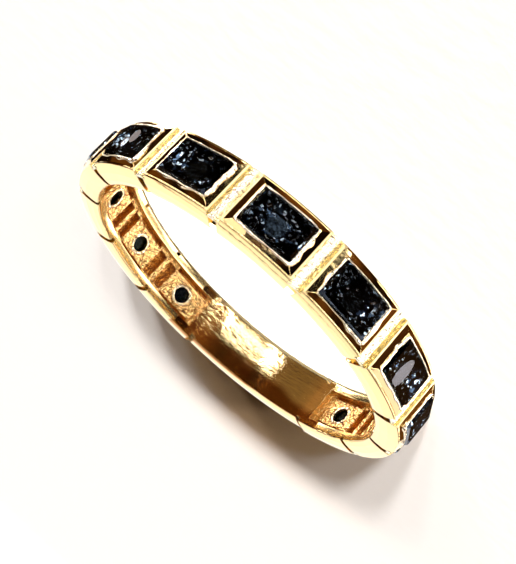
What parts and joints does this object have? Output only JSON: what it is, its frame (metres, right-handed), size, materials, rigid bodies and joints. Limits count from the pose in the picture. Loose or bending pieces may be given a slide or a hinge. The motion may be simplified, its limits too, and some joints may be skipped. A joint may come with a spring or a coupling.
{
  "type": "eternity ring",
  "caption": "Yellow gold ring of box-shaped bezel links set with rectangular dark blue step-cut stones, with a short plain shank.",
  "frame": {"origin": "on the bore's axis, at the side face that the ring lies on", "axes": "+Z along the finger bore, up when the ring lies on its side; the row of stones is centred on +Y and the plain shank on -Y"},
  "size_m": [0.02, 0.0196, 0.0029],
  "materials": {
    "gold": "polished yellow gold, as cast inside",
    "stone": "polished facets, very dark blue"
  },
  "bodies": {
    "root": {"band": "gold", "stone_01": "stone", "stone_02": "stone", "stone_03": "stone", "stone_04": "stone", "stone_05": "stone", "stone_06": "stone", "stone_07": "stone", "stone_08": "stone", "stone_09": "stone", "stone_10": "stone", "stone_11": "stone", "stone_12": "stone"}
  },
  "joints": []
}
